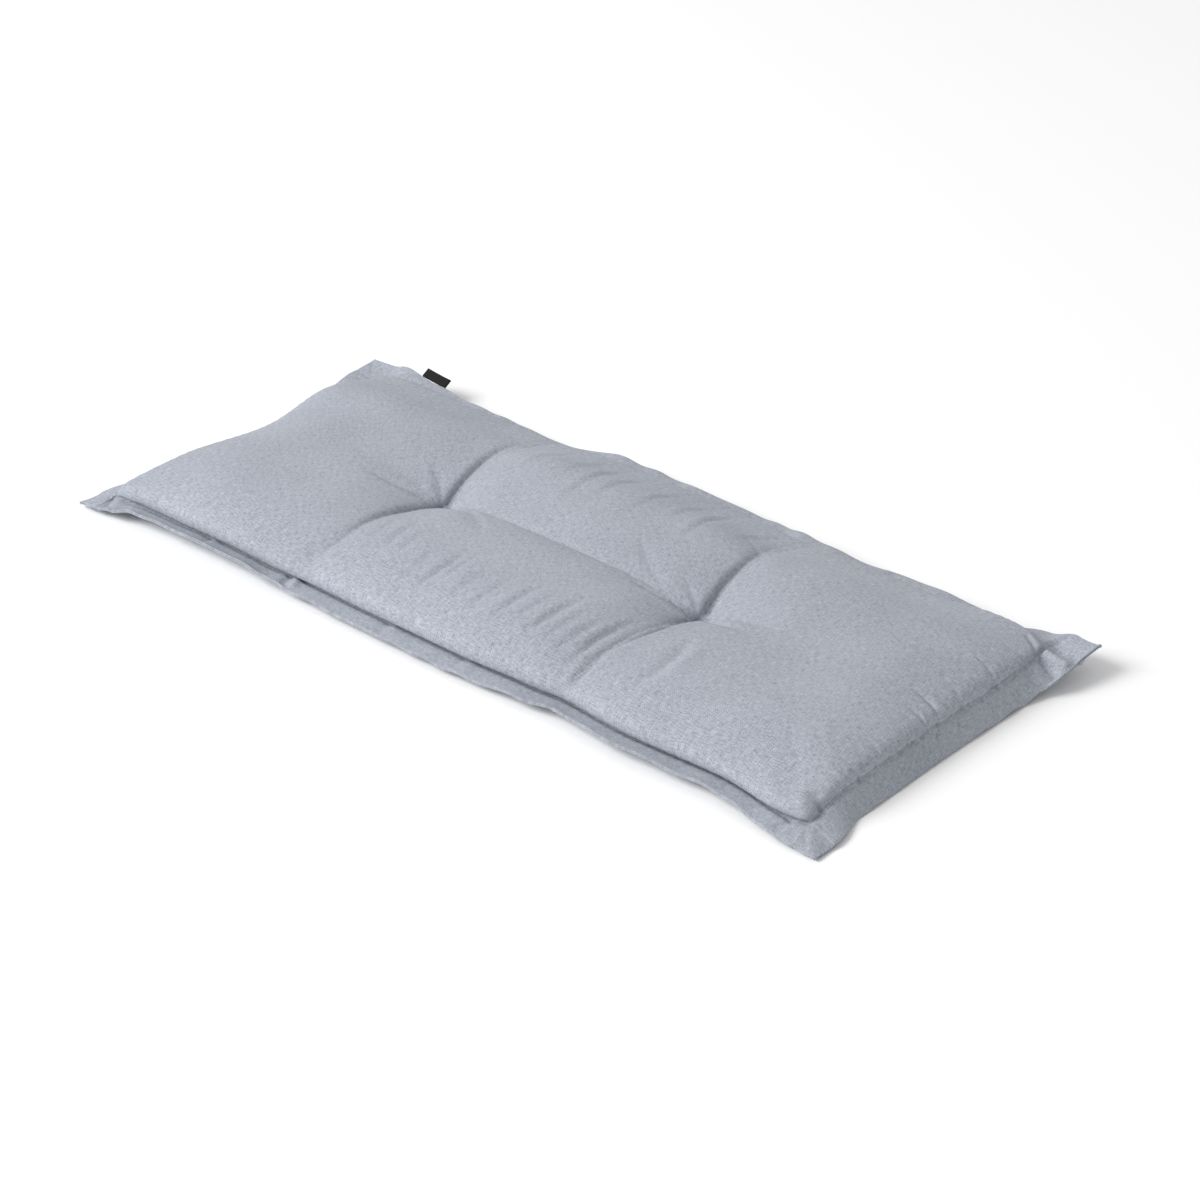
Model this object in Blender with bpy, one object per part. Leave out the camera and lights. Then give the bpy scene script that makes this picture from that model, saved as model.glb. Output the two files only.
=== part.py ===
"""Bench cushion with a stitched border, two blind tufts and a folded tape label.

Two cloth panels are sewn round the edge, filled with fibre and stitched again a
little way in, which leaves a flat double border.  Two threads pull the panels
together on the centre line, so the pad rises in three puffs.

Metres, +Z up.  The cushion lies on its back on Z = 0 with +X along its length.
"""

import math

import bmesh
import bpy
import numpy as np

# Overall sizes
LENGTH = 1.100           # over the corner tips
WIDTH = 0.480            # over the corner tips
BORDER = 0.030           # cloth outside the stitched line
BORDER_THICK = 0.0036    # two panels and their turned-in seam allowance
BORDER_ROUND = 0.0012    # how far the folded edge stands out
CORNER_SHARE = 0.6       # how much of both sides' slope a corner takes
CORNER_INSET = 0.012     # how far in the stitched line rounds each corner
CORNER_REACH = 0.040

# Filled pad
CROWN = 0.044            # top of the middle puff above the stitched line
END_CROWN = 0.87         # share of it that the two end puffs reach
MIDDLE_DOME = 0.04       # share that the middle puff loses at its valleys
PUFF_STEP = 0.10         # the change of crown takes this length
SHOULDER = 2.5           # higher gives a boxier shoulder
OVERHANG_REACH = 0.052   # how far in the outward push is felt
DRAW_FADE = 5            # higher keeps a side's drawing-in nearer that side
SIDE_HOLD = 0.0005       # how tightly the pad's foot keeps to each side's height
UNDER_REACH = 0.075      # how far in the bottom panel goes on falling
UNDER_FOOT = 2.1         # steepness of its foot
UNDER_OVERHANG = 0.008
UNDER_TUCK = 0.0005

# How the top panel leaves the stitched line on each side, as columns of distance in
# over which it rises, steepness of its foot, outward push above the line, and the
# length over which its foot lies low on the border before it turns up
RISE_FRONT = (0.110, 2.40, 0.020, 0.0050)
RISE_BACK = (0.120, 2.10, 0.008, 0.0030)
RISE_LEFT = (0.150, 2.10, 0.008, 0.0030)
RISE_RIGHT = (0.180, 1.70, 0.003, 0.0005)
TUCK_SHARE = 0.6

# Tufts on the centre line
TUFTS = (-0.194, 0.200)
TUFT_PULL = 0.006        # extra depth at the thread
TUFT_WIDE = 0.020
TUFT_DIP = 0.15          # share of the crown lost in the hollow round it
DIP_WIDE = 0.075
UNDER_PULL = 0.012       # how far the bottom panel is drawn up
UNDER_WIDE = 0.030

# Valleys across the pad, one through each tuft
VALLEY_HALF = 0.100      # half width, out to the puff's shoulder
VALLEY_ROUND = 0.60      # lower gives a sharper valley floor
VALLEY_AT_TUFT = 0.64    # share of the crown lost
VALLEY_RUN = 0.260       # a valley would come level at this distance from its tuft
VALLEY_BENDS = ((0.000, 0.006), (-0.010, 0.004))    # along X at the back and the front
VALLEY_CURVE = 0.050     # length over which the bend comes in
VALLEY_LEAN = 0.120      # how far the cloth beside a valley leans with it

# Creases along the pad, out of each tuft
CREASE_HALF = 0.060
CREASE_AT_TUFT = 0.42
CREASE_FADE = 0.050
CREASE_BETWEEN = 0.15
CREASE_EASE = 0.25       # share of the way over which it comes in
CREASE_BOW = 0.004       # sideways bow of the crease between the tufts

# The stitched line and the border on each side.  Places, distances drawn in and
# heights are metres; the border's slopes at its stitching and tip are degrees.
PLACE, INWARD, HEIGHT, ROOT, TIP = range(5)
FRONT = (
    (-0.520, 0.000, 0.012, -8, -10),
    (-0.430, 0.008, 0.016, -10, 30),
    (-0.310, 0.010, 0.016, -10, 28),
    (-0.232, 0.009, 0.015, -8, 22),
    (-0.195, 0.012, 0.014, -12, 4),
    (-0.090, 0.010, 0.014, -10, -4),
    (0.040, 0.010, 0.014, -10, -6),
    (0.150, 0.015, 0.014, -10, 4),
    (0.195, 0.019, 0.014, -10, 16),
    (0.290, 0.010, 0.015, -14, 22),
    (0.400, 0.015, 0.014, -12, 14),
    (0.520, 0.000, 0.012, -12, -12),
)
BACK = (
    (-0.520, 0.002, 0.014, 6, 22),
    (-0.480, 0.006, 0.020, 8, 32),
    (-0.430, 0.009, 0.021, -4, 8),
    (-0.350, 0.012, 0.020, -8, 2),
    (-0.200, 0.015, 0.022, -16, -6),
    (-0.120, 0.008, 0.023, -2, 28),
    (0.000, 0.007, 0.023, -4, 20),
    (0.110, 0.011, 0.023, -10, 16),
    (0.170, 0.014, 0.022, -4, 30),
    (0.240, 0.009, 0.022, -16, 0),
    (0.350, 0.011, 0.022, -12, 18),
    (0.440, 0.007, 0.028, -30, -18),
    (0.490, 0.006, 0.029, -22, -6),
    (0.520, 0.002, 0.026, 6, 14),
)
LEFT = (
    (-0.210, 0.000, 0.014, -14, -16),
    (-0.120, 0.012, 0.020, -34, -28),
    (0.000, 0.030, 0.019, -34, -28),
    (0.120, 0.010, 0.021, -30, -20),
    (0.210, 0.003, 0.013, 2, 10),
)
RIGHT = (
    (-0.210, 0.000, 0.014, -16, -20),
    (-0.150, 0.007, 0.020, -38, -36),
    (0.000, 0.012, 0.021, -40, -37),
    (0.130, 0.011, 0.021, -40, -34),
    (0.170, 0.009, 0.026, -28, -12),
    (0.210, 0.000, 0.026, 6, 14),
)

# Grid
BORDER_ROWS = 3
SIDE_ROWS = 5
SIDE_ZONE = 0.050
LONG_ROWS = 60
CROSS_ROWS = 18
ROW_CROWDING = 0.45      # how much rows gather at the tufts
ROW_GATHER = 0.060       # within about this distance

# Label
LABEL_WIDE = 0.039
LABEL_PROUD = 0.013
LABEL_TAPE = 0.0006
LABEL_LOOP = 0.0024
LABEL_PLACE = -0.439
LABEL_SLOPE = 30         # degrees up from level
LABEL_GAP = 0.0008
LABEL_ARC_STEPS = 8

HALF_LONG = LENGTH / 2 - BORDER
HALF_CROSS = WIDTH / 2 - BORDER
WELD = 0.00001
TINY = 1e-9
PUSH_OUT = 0.5
PUSH_BACK = 1.5
PUSH_TOP = PUSH_OUT / (PUSH_OUT + PUSH_BACK)
PUSH_PEAK = 1.0 / (PUSH_TOP ** PUSH_OUT * (1.0 - PUSH_TOP) ** PUSH_BACK)


def smooth(v):
    """0 to 1 with level ends."""
    v = np.clip(v, 0.0, 1.0)
    return v * v * (3.0 - 2.0 * v)


def along(table, place, column):
    """A column of a side's table, eased between its rows."""
    places = [row[PLACE] for row in table]
    values = [row[column] for row in table]
    place = np.clip(place, places[0], places[-1])
    low = np.clip(np.searchsorted(places, place, side="right") - 1, 0, len(places) - 2)
    places = np.array(places)
    values = np.array(values, dtype=float)
    share = (place - places[low]) / (places[low + 1] - places[low])
    return values[low] + (values[low + 1] - values[low]) * smooth(share)


def side_rise(depth, reach, foot, tuck):
    """Share of the full height reached at a distance in from the stitched line."""
    left = 1.0 - np.clip(depth / reach, 0.0, 1.0)
    low = (1.0 - np.exp(-depth / tuck)) ** TUCK_SHARE
    return (1.0 - left ** SHOULDER) ** (1.0 / foot) * low


def corner_rise(rise_s, rise_t):
    """Both directions' rises joined over a corner, fuller than their product."""
    product = rise_s * rise_t
    return product / np.maximum(rise_s + rise_t - product, TINY)


def side_push(depth):
    """Share of the overhang at a distance in from the stitched line."""
    share = np.clip(depth / OVERHANG_REACH, 0.0, 1.0)
    return PUSH_PEAK * share ** PUSH_OUT * (1.0 - share) ** PUSH_BACK


def pick(positive, where_positive, where_negative):
    """One side's columns where positive holds, the opposite side's elsewhere."""
    return [np.where(positive, a, b) for a, b in zip(where_positive, where_negative)]


def shoulder(distance, half):
    """1 on a valley's floor, 0 on the puff beside it, with a sharp floor."""
    share = np.clip(distance / half, 0.0, 1.0)
    return 1.0 - (1.0 - (1.0 - share) ** 2) ** VALLEY_ROUND


def valley_shift(s, t):
    """How far the grid leans along X so that its columns follow the valleys."""
    shift = np.zeros_like(s)
    for tuft, (back, front) in zip(TUFTS, VALLEY_BENDS):
        near = np.exp(-((s - tuft) / VALLEY_LEAN) ** 2)
        bend = np.where(t > 0, back, front) * (1.0 - np.exp(-np.abs(t) / VALLEY_CURVE))
        shift = shift + near * bend
    return shift


def puff(s):
    """Crown of the end puffs beside that of the middle one, which is domed."""
    half = (TUFTS[1] - TUFTS[0]) / 2
    off = np.abs(s - (TUFTS[0] + TUFTS[1]) / 2) / half
    dome = 1.0 - MIDDLE_DOME * np.minimum(off, 1.0) ** 2
    return dome * (1.0 - (1.0 - END_CROWN) * smooth(0.5 + (off - 1.0) * half / PUFF_STEP))


def crown_left(s, t):
    """Share of the crown that the valleys and creases leave."""
    left = np.ones_like(s)
    for tuft in TUFTS:
        deep = VALLEY_AT_TUFT * (1.0 - np.abs(t) / VALLEY_RUN)
        left = left * (1.0 - deep * shoulder(np.abs(s - tuft), VALLEY_HALF))
        hollow = np.exp(-((s - tuft) ** 2 + t ** 2) / DIP_WIDE ** 2)
        left = left * (1.0 - TUFT_DIP * hollow)
    middle = (s - TUFTS[0]) / (TUFTS[1] - TUFTS[0])
    between = smooth(middle / CREASE_EASE) * smooth((1 - middle) / CREASE_EASE)
    line = -CREASE_BOW * np.sin(math.pi * np.clip(middle, 0, 1))
    deep = CREASE_BETWEEN * between
    for tuft in TUFTS:
        deep = deep + CREASE_AT_TUFT * np.exp(-np.abs(s - tuft) / CREASE_FADE)
    return left * (1.0 - deep * shoulder(np.abs(t - line), CREASE_HALF))


def drawn(place, half):
    """Share of a side's drawing-in that is felt at a place across the pad."""
    return (0.5 + place / (2 * half)) ** DRAW_FADE


def border_run(table, place, out):
    """Outward and upward travel across the border, and its slope there."""
    root = np.radians(along(table, place, ROOT))
    tip = np.radians(along(table, place, TIP))
    share = out / BORDER
    slope = root + (tip - root) * share
    middle = root + (tip - root) * share / 2
    return out * np.cos(middle), out * np.sin(middle), slope


def seam_height(s, t):
    """Height of the stitched line, carried in over the whole pad."""
    total = np.zeros_like(s)
    weight = np.zeros_like(s)
    for table, place, inward in (
        (FRONT, s, t + HALF_CROSS),
        (BACK, s, HALF_CROSS - t),
        (LEFT, t, s + HALF_LONG),
        (RIGHT, t, HALF_LONG - s),
    ):
        near = 1.0 / (inward + SIDE_HOLD) ** 2
        total = total + near * along(table, place, HEIGHT)
        weight = weight + near
    return total / weight


def panel(s, out_s, t, out_t, upper):
    """Where a point of the top or bottom panel lies on the finished cushion.

    s and t are places on the pad, held at the stitched line for border points;
    out_s and out_t are how far a border point lies beyond it.
    """
    face = 1.0 if upper else -1.0
    end = np.where(s > 0, 1.0, -1.0)
    side = np.where(t > 0, 1.0, -1.0)
    in_s = HALF_LONG - np.abs(s)
    in_t = HALF_CROSS - np.abs(t)

    x = s + valley_shift(s, t)
    x = x + along(LEFT, t, INWARD) * drawn(-s, HALF_LONG)
    x = x - along(RIGHT, t, INWARD) * drawn(s, HALF_LONG)
    y = t + along(FRONT, s, INWARD) * drawn(-t, HALF_CROSS)
    y = y - along(BACK, s, INWARD) * drawn(t, HALF_CROSS)
    near = np.exp(-(in_s ** 2 + in_t ** 2) / CORNER_REACH ** 2)
    inset = CORNER_INSET * near * (1.0 - np.maximum(out_s, out_t) / BORDER)
    x = x - end * inset
    y = y - side * inset
    z = seam_height(s, t)

    # The border
    run_s = pick(s > 0, border_run(RIGHT, t, out_s), border_run(LEFT, t, out_s))
    run_t = pick(t > 0, border_run(BACK, s, out_t), border_run(FRONT, s, out_t))
    half = BORDER_THICK / 2 * face
    slope_s = np.where(out_s > 0, run_s[2], 0.0)
    slope_t = np.where(out_t > 0, run_t[2], 0.0)
    x = x + end * (run_s[0] - half * np.sin(slope_s))
    y = y + side * (run_t[0] - half * np.sin(slope_t))
    shared = np.where((out_s > 0) & (out_t > 0), CORNER_SHARE, 1.0)
    z = z + (run_s[1] + run_t[1]) * shared + half * np.cos(slope_s) * np.cos(slope_t)

    # The filled pad
    if upper:
        end_reach, end_foot, end_push, end_tuck = pick(s > 0, RISE_RIGHT, RISE_LEFT)
        long_reach, long_foot, long_push, long_tuck = pick(t > 0, RISE_BACK, RISE_FRONT)
        end_rise = side_rise(in_s, end_reach, end_foot, end_tuck)
        long_rise = side_rise(in_t, long_reach, long_foot, long_tuck)
        x = x + end * end_push * side_push(in_s) * long_rise
        y = y + side * long_push * side_push(in_t) * end_rise
        z = z + CROWN * puff(s) * corner_rise(end_rise, long_rise) * crown_left(s, t)
        for tuft in TUFTS:
            z = z - TUFT_PULL * np.exp(-np.hypot(s - tuft, t) / TUFT_WIDE)
    else:
        end_fall = side_rise(in_s, UNDER_REACH, UNDER_FOOT, UNDER_TUCK)
        long_fall = side_rise(in_t, UNDER_REACH, UNDER_FOOT, UNDER_TUCK)
        x = x + end * UNDER_OVERHANG * side_push(in_s) * long_fall
        y = y + side * UNDER_OVERHANG * side_push(in_t) * end_fall
        z = z * (1.0 - corner_rise(end_fall, long_fall))
        for tuft in TUFTS:
            z = z + UNDER_PULL * smooth(1.0 - np.hypot(s - tuft, t) / (2 * UNDER_WIDE))
    return x, y, z


def rows(half, count, gather):
    """Places and border distances of the grid rows across one direction."""
    zone = [SIDE_ZONE * (i / SIDE_ROWS) ** 2 for i in range(SIDE_ROWS)]
    inner = np.linspace(-1, 1, count + 1) * (half - SIDE_ZONE)
    for centre in gather:
        away = inner - centre
        inner = inner - ROW_CROWDING * away * np.exp(-(away / ROW_GATHER) ** 2)
        inner[np.argmin(np.abs(inner - centre))] = centre
    places = [-half] * BORDER_ROWS + [d - half for d in zone] + list(inner)
    places = places + [half - d for d in reversed(zone)] + [half] * BORDER_ROWS
    out = [BORDER * (BORDER_ROWS - i) / BORDER_ROWS for i in range(BORDER_ROWS)]
    out = out + [0.0] * (len(places) - 2 * BORDER_ROWS) + list(reversed(out))
    return np.array(places), np.array(out)


def material(name, colour, roughness):
    """A plain Principled material."""
    made = bpy.data.materials.new(name)
    made.use_nodes = True
    shader = made.node_tree.nodes["Principled BSDF"]
    shader.inputs["Base Color"].default_value = (*colour, 1.0)
    shader.inputs["Roughness"].default_value = roughness
    made.diffuse_color = (*colour, 1.0)
    return made


def shaped_panel(upper):
    """A flat grid of cloth, moved to its place on the finished cushion."""
    long_places, long_out = rows(HALF_LONG, LONG_ROWS, TUFTS)
    cross_places, cross_out = rows(HALF_CROSS, CROSS_ROWS, (0.0,))
    bm = bmesh.new()
    bmesh.ops.create_grid(
        bm,
        x_segments=len(long_places) - 1,
        y_segments=len(cross_places) - 1,
        size=1.0,
    )
    bm.verts.ensure_lookup_table()
    across = np.array([v.co.x for v in bm.verts])
    up = np.array([v.co.y for v in bm.verts])
    i = np.rint((across + 1) / 2 * (len(long_places) - 1)).astype(int)
    j = np.rint((up + 1) / 2 * (len(cross_places) - 1)).astype(int)
    x, y, z = panel(long_places[i], long_out[i], cross_places[j], cross_out[j], upper)
    for vert, place in zip(bm.verts, zip(x, y, z)):
        vert.co = place
    if not upper:
        bmesh.ops.reverse_faces(bm, faces=bm.faces[:])
    return bm


def cushion():
    """Both panels, sewn along the edge of the border."""
    bm = shaped_panel(True)
    lower = shaped_panel(False)
    holder = bpy.data.meshes.new("lower")
    lower.to_mesh(holder)
    lower.free()
    bm.from_mesh(holder)
    bpy.data.meshes.remove(holder)
    open_edges = [e for e in bm.edges if e.is_boundary]
    sewn = bmesh.ops.bridge_loops(bm, edges=open_edges)["faces"]
    walls = [e for e in {e for f in sewn for e in f.edges} if e not in set(open_edges)]
    split = bmesh.ops.subdivide_edges(bm, edges=walls, cuts=1)["geom_split"]
    bm.normal_update()
    for vert in {v for v in split if isinstance(v, bmesh.types.BMVert)}:
        outward = vert.normal.copy()
        vert.co += outward * BORDER_ROUND
    mesh = bpy.data.meshes.new("cushion")
    bm.to_mesh(mesh)
    bm.free()
    mesh.shade_smooth()
    return bpy.data.objects.new("cushion", mesh)


def label():
    """A tape folded into a loop, its open side against the border's edge."""
    arc = LABEL_LOOP / 2
    straight = LABEL_PROUD - arc
    outline = [(0.0, arc)]
    for k in range(LABEL_ARC_STEPS + 1):
        turn = math.pi / 2 - math.pi * k / LABEL_ARC_STEPS
        outline.append((straight + arc * math.cos(turn), arc * math.sin(turn)))
    outline.append((0.0, -arc))
    inner = arc - LABEL_TAPE
    outline.append((0.0, -inner))
    for k in range(LABEL_ARC_STEPS + 1):
        turn = -math.pi / 2 + math.pi * k / LABEL_ARC_STEPS
        outline.append((straight + inner * math.cos(turn), inner * math.sin(turn)))
    outline.append((0.0, inner))
    curve = bpy.data.curves.new("label outline", "CURVE")
    curve.dimensions = "2D"
    curve.fill_mode = "BOTH"
    curve.extrude = LABEL_WIDE / 2
    spline = curve.splines.new("POLY")
    spline.points.add(len(outline) - 1)
    for point, (a, b) in zip(spline.points, outline):
        point.co = (a, b, 0.0, 1.0)
    spline.use_cyclic_u = True
    flat = bpy.data.objects.new("label outline", curve)
    bpy.context.scene.collection.objects.link(flat)
    bpy.context.view_layer.update()
    graph = bpy.context.evaluated_depsgraph_get()
    mesh = bpy.data.meshes.new_from_object(flat.evaluated_get(graph))
    bpy.data.objects.remove(flat)
    bpy.data.curves.remove(curve)
    bm = bmesh.new()
    bm.from_mesh(mesh)
    bmesh.ops.remove_doubles(bm, verts=bm.verts[:], dist=WELD)
    place = LABEL_PLACE + np.array([-0.5, 0.5]) * LABEL_WIDE
    zero = np.zeros(2)
    side = np.full(2, HALF_CROSS)
    out = np.full(2, BORDER)
    top = np.array(panel(place, zero, side, out, True))
    under = np.array(panel(place, zero, side, out, False))
    ends = (top + under) / 2
    edge = ends.mean(axis=1)
    run = (ends[:, 1] - ends[:, 0]) / LABEL_WIDE
    slope = math.radians(LABEL_SLOPE)
    clear = BORDER_ROUND + LABEL_GAP
    for vert in bm.verts:
        away, thick, wide = vert.co
        away = away + clear
        vert.co = (
            edge[0] + run[0] * wide,
            edge[1] + run[1] * wide + away * math.cos(slope) - thick * math.sin(slope),
            edge[2] + run[2] * wide + away * math.sin(slope) + thick * math.cos(slope),
        )
    bmesh.ops.recalc_face_normals(bm, faces=bm.faces[:])
    bm.to_mesh(mesh)
    bm.free()
    mesh.name = "label"
    return bpy.data.objects.new("label", mesh)


def settle(pieces):
    """Stand the object on Z = 0 with its box centred on the origin."""
    points = np.array([v.co for piece in pieces for v in piece.data.vertices])
    low = points.min(axis=0)
    high = points.max(axis=0)
    shift = (-(low[0] + high[0]) / 2, -(low[1] + high[1]) / 2, -low[2])
    for piece in pieces:
        for vert in piece.data.vertices:
            for axis in range(3):
                vert.co[axis] += shift[axis]


def main():
    for thing in list(bpy.data.objects):
        bpy.data.objects.remove(thing)
    collection = bpy.data.collections.new("bench_cushion")
    bpy.context.scene.collection.children.link(collection)
    cloth = material("grey woven cloth", (0.47, 0.49, 0.52), 0.92)
    tape = material("black woven tape", (0.02, 0.02, 0.022), 0.80)
    body = cushion()
    tag = label()
    body.data.materials.append(cloth)
    tag.data.materials.append(tape)
    for piece in (body, tag):
        collection.objects.link(piece)
    settle((body, tag))


main()
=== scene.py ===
# %% [markdown]
# # A filled bench cushion
#
# The object is a long, thin seat cushion for a garden bench.  Two panels of heathered
# woven cloth are sewn together round the edge and turned the right way out.  The case is
# filled with fibre, and a second row of stitching a little way in closes the pad and
# leaves a flat double border all round.  Two hidden threads pull the panels together on
# the centre line, so the pad rises in three puffs, and a folded tape label stands on the
# back border.
#
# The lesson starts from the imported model, which fixes where everything is.

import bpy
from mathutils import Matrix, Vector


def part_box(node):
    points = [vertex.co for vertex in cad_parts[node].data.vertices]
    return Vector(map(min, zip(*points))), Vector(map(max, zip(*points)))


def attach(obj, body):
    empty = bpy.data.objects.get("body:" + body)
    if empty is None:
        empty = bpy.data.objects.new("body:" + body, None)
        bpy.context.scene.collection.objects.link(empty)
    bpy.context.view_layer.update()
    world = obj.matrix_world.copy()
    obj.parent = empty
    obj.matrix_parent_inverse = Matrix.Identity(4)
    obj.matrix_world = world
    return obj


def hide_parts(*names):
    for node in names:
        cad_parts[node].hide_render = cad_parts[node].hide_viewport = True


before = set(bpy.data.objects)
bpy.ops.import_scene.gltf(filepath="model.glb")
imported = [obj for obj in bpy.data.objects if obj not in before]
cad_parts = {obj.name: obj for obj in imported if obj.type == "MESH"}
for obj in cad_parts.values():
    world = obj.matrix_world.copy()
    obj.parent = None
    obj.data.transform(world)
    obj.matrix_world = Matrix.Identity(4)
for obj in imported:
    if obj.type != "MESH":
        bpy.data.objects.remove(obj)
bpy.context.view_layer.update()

# %% The tools this lesson uses
import math

import bpy
import numpy as np
from mathutils import Matrix, Vector


def take(thing):
    """Select one object alone and make it the active one."""
    bpy.ops.object.select_all(action="DESELECT")
    thing.select_set(True)
    bpy.context.view_layer.objects.active = thing


def points_of(thing):
    """The places of an object's vertices, one row each."""
    flat = np.empty(len(thing.data.vertices) * 3)
    thing.data.vertices.foreach_get("co", flat)
    return flat.reshape(-1, 3)


def move_points(thing, points):
    """Put an object's vertices at new places."""
    thing.data.vertices.foreach_set("co", np.asarray(points, dtype=float).ravel())
    thing.data.update()


def normals_of(thing):
    """The outward direction at each vertex."""
    flat = np.empty(len(thing.data.vertices) * 3)
    thing.data.vertices.foreach_get("normal", flat)
    return flat.reshape(-1, 3)


def mark_points(thing, name, values):
    """Keep a number on each vertex, which subdivision then carries along."""
    made = thing.data.attributes.new(name, "FLOAT", "POINT")
    made.data.foreach_set("value", np.asarray(values, dtype=float))


def marks_of(thing, name):
    """Read such a number back."""
    flat = np.empty(len(thing.data.vertices))
    thing.data.attributes[name].data.foreach_get("value", flat)
    return flat


# %% [markdown]
# ## The camera
#
# The picture looks down on the cushion from above its front right corner with a long
# lens, so its sides run almost parallel.  Yaw, pitch and roll are turned into a camera
# matrix here by hand, because then each number means something: how far round the
# object, how far above the floor, and how level.

# %% Set the camera
VIEW_YAW = 42.60
VIEW_PITCH = 29.82
VIEW_ROLL = -0.65
VIEW_AWAY = 3.468                       # metres from the point looked at
VIEW_TARGET = Vector((0.0520, -0.0028, 0.0))
VIEW_LENS = 94.30                       # millimetres, on a 36 mm sensor


def camera_axes(yaw, pitch, roll):
    """Right, up and forward of a camera that looks down at the object."""
    level = math.cos(pitch)
    forward = Vector((-math.sin(yaw) * level, math.cos(yaw) * level, -math.sin(pitch)))
    right = forward.cross(Vector((0, 0, 1))).normalized()
    up = right.cross(forward)
    c, s = math.cos(roll), math.sin(roll)
    return c * right + s * up, -s * right + c * up, forward


right, up, forward = camera_axes(*(math.radians(a) for a in (VIEW_YAW, VIEW_PITCH, VIEW_ROLL)))
lens = bpy.data.cameras.new("camera")
lens.sensor_width = 36
lens.lens = VIEW_LENS
camera = bpy.data.objects.new("camera", lens)
camera.matrix_world = Matrix((right, up, -forward)).transposed().to_4x4()
camera.location = VIEW_TARGET - forward * VIEW_AWAY
bpy.context.scene.collection.objects.link(camera)
bpy.context.scene.camera = camera
print("camera at", [round(v, 3) for v in camera.location])

# %% [markdown]
# ## The shape of the pad
#
# A place on the cushion is told by how far along (s) and across (t) it lies on the flat
# cloth, before filling.  The functions below say where that place ends up when the pad
# is full: how steeply the cloth leaves the stitched line on each side, how far it bulges
# over it, and how much the valleys and creases take away.  They are the solid model's
# own functions, with finer creases, sharper feet and the corner folds added, so the cover
# keeps to the solid's space.

# %% Sizes of the cushion
LENGTH = 1.100
WIDTH = 0.480
BORDER = 0.030
BORDER_THICK = 0.0036
CORNER_SHARE = 0.6
CORNER_INSETS = ((0.000, 0.004), (0.004, 0.012))    # left and right end, each front and back
CORNER_REACH = 0.040
HALF_LONG = LENGTH / 2 - BORDER
HALF_CROSS = WIDTH / 2 - BORDER

CROWN = 0.044
END_CROWN = 0.87
MIDDLE_DOME = 0.04
PUFF_STEP = 0.10
SHOULDER = 2.5
OVERHANG_REACH = 0.052
DRAW_FADE = 5
SIDE_HOLD = 0.0005
UNDER_REACH = 0.075
UNDER_FOOT = 2.1
UNDER_OVERHANG = 0.008
UNDER_TUCK = 0.0005
RISE_FRONT = (0.110, 2.40, 0.020, 0.0050)  # reach, steepness of the foot, outward push, tuck
RISE_BACK = (0.120, 2.10, 0.014, 0.0030)
RISE_LEFT = (0.150, 2.10, 0.008, 0.0030)
RISE_RIGHT = (0.090, 1.84, 0.003, 0.0005)
TUCK_SHARE = 0.6
RIGHT_EASE = 0.20        # share of the crown lost towards the right end
RIGHT_EASE_FROM = 0.25
BACK_WALL = 0.24         # share of the crown that the back reaches as a wall
BACK_SLOPE = 0.108       # length of the slope above it
BACK_FOOT = 0.0022
ROLL_LOW = 0.75          # how far the front foot is pressed on to the border
ROLL_REACH = 0.0075

TUFTS = (-0.194, 0.200)
TUFT_PULL = 0.004
TUFT_WIDE = 0.020
TUFT_DIP = 0.10
DIP_WIDE = 0.075
UNDER_PULL = 0.012
UNDER_WIDE = 0.030
VALLEY_HALF = 0.085
VALLEY_ROUND = 0.60
VALLEY_AT_TUFT = 0.56    # share of the crown lost beside the tuft
VALLEY_ALONG = 0.14      # and all along the valley
VALLEY_RUN = 0.038
VALLEY_BENDS = ((-0.005, -0.004), (-0.012, -0.012))
VALLEY_CURVE = 0.050
VALLEY_LEAN = 0.120
CREASE_HALF = 0.060
CREASE_AT_TUFT = 0.42
CREASE_FADE = 0.050
CREASE_BETWEEN = 0.28
CREASE_EASE = 0.25
CREASE_BOW = 0.010

# place, distance drawn in, height of the stitched line, slope at it and at the tip
PLACE, INWARD, HEIGHT, ROOT, TIP = range(5)
FRONT = (
    (-0.520, 0.000, 0.012, -8, -10),
    (-0.500, 0.003, 0.014, -30, 24),
    (-0.470, 0.006, 0.016, -30, 48),
    (-0.430, 0.008, 0.016, -28, 52),
    (-0.310, 0.010, 0.016, -28, 50),
    (-0.245, 0.009, 0.015, -30, 46),
    (-0.222, 0.010, 0.015, -6, 8),
    (-0.195, 0.012, 0.014, -12, 4),
    (-0.090, 0.010, 0.014, -10, -4),
    (0.040, 0.010, 0.014, -10, -6),
    (0.150, 0.015, 0.014, -14, 8),
    (0.195, 0.019, 0.014, -16, 22),
    (0.290, 0.010, 0.015, -14, 22),
    (0.400, 0.015, 0.014, -12, 14),
    (0.520, 0.000, 0.012, -12, -12),
)
BACK = (
    (-0.520, 0.002, 0.014, 6, 22),
    (-0.480, 0.006, 0.020, 8, 32),
    (-0.430, 0.009, 0.021, -4, 8),
    (-0.350, 0.012, 0.020, -8, 2),
    (-0.200, 0.015, 0.022, -16, -6),
    (-0.120, 0.008, 0.023, 26, -10),
    (0.000, 0.007, 0.023, 26, -22),
    (0.110, 0.011, 0.023, 26, -24),
    (0.170, 0.014, 0.022, 32, -14),
    (0.240, 0.009, 0.022, 16, -32),
    (0.350, 0.011, 0.022, 24, -18),
    (0.440, 0.007, 0.028, -30, -18),
    (0.490, 0.006, 0.029, -22, -6),
    (0.520, 0.002, 0.026, 6, 14),
)
LEFT = (
    (-0.210, 0.000, 0.014, -14, -16),
    (-0.120, 0.012, 0.020, -34, -28),
    (0.000, 0.030, 0.019, -34, -28),
    (0.120, 0.010, 0.021, -30, -20),
    (0.210, 0.003, 0.013, 2, 10),
)
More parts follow.
